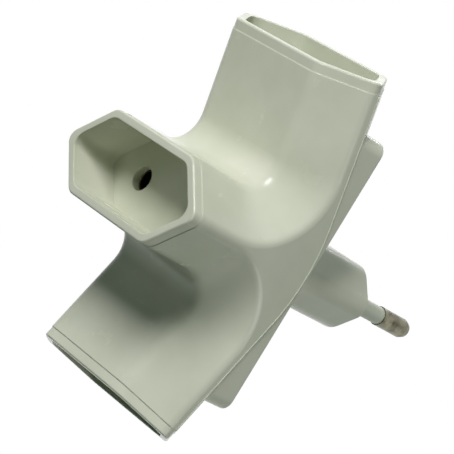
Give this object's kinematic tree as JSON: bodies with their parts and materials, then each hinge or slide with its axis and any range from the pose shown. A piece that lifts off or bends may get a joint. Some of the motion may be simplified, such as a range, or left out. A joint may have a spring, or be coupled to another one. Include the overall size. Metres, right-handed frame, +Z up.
{
  "type": "multi socket adapter",
  "caption": "Moulded plug adapter that splits one wall socket into several: hexagonal socket arms fan out from a rear collar, with a flat hexagonal plug and round sleeved pins behind.",
  "frame": {"origin": "middle of the plug boss's flat end, between the two pins", "axes": "+Y out along the plug pins, +X from the left pin to the right pin, +Z up along the upper arm; the front socket faces -Y"},
  "size_m": [0.0424, 0.0747, 0.08],
  "materials": {
    "moulding": "satin moulded",
    "sleeve": "satin moulded",
    "pin_plating": "nickel plated",
    "strip_brass": "stamped",
    "spring_steel": "rolled"
  },
  "bodies": {
    "root": {"front_housing": "moulding", "rear_cover": "moulding", "plug_pin_left": "pin_plating", "plug_pin_right": "pin_plating", "pin_sleeve_left": "sleeve", "pin_sleeve_right": "sleeve", "bus_strip_left": "strip_brass", "bus_strip_right": "strip_brass", "contact_front_left": "strip_brass", "contact_front_right": "strip_brass", "contact_upper_left": "strip_brass", "contact_upper_right": "strip_brass", "contact_lower_left": "strip_brass", "contact_lower_right": "strip_brass", "spring_front_left": "spring_steel", "spring_front_right": "spring_steel", "spring_upper_left": "spring_steel", "spring_upper_right": "spring_steel", "spring_lower_left": "spring_steel", "spring_lower_right": "spring_steel"}
  },
  "joints": []
}
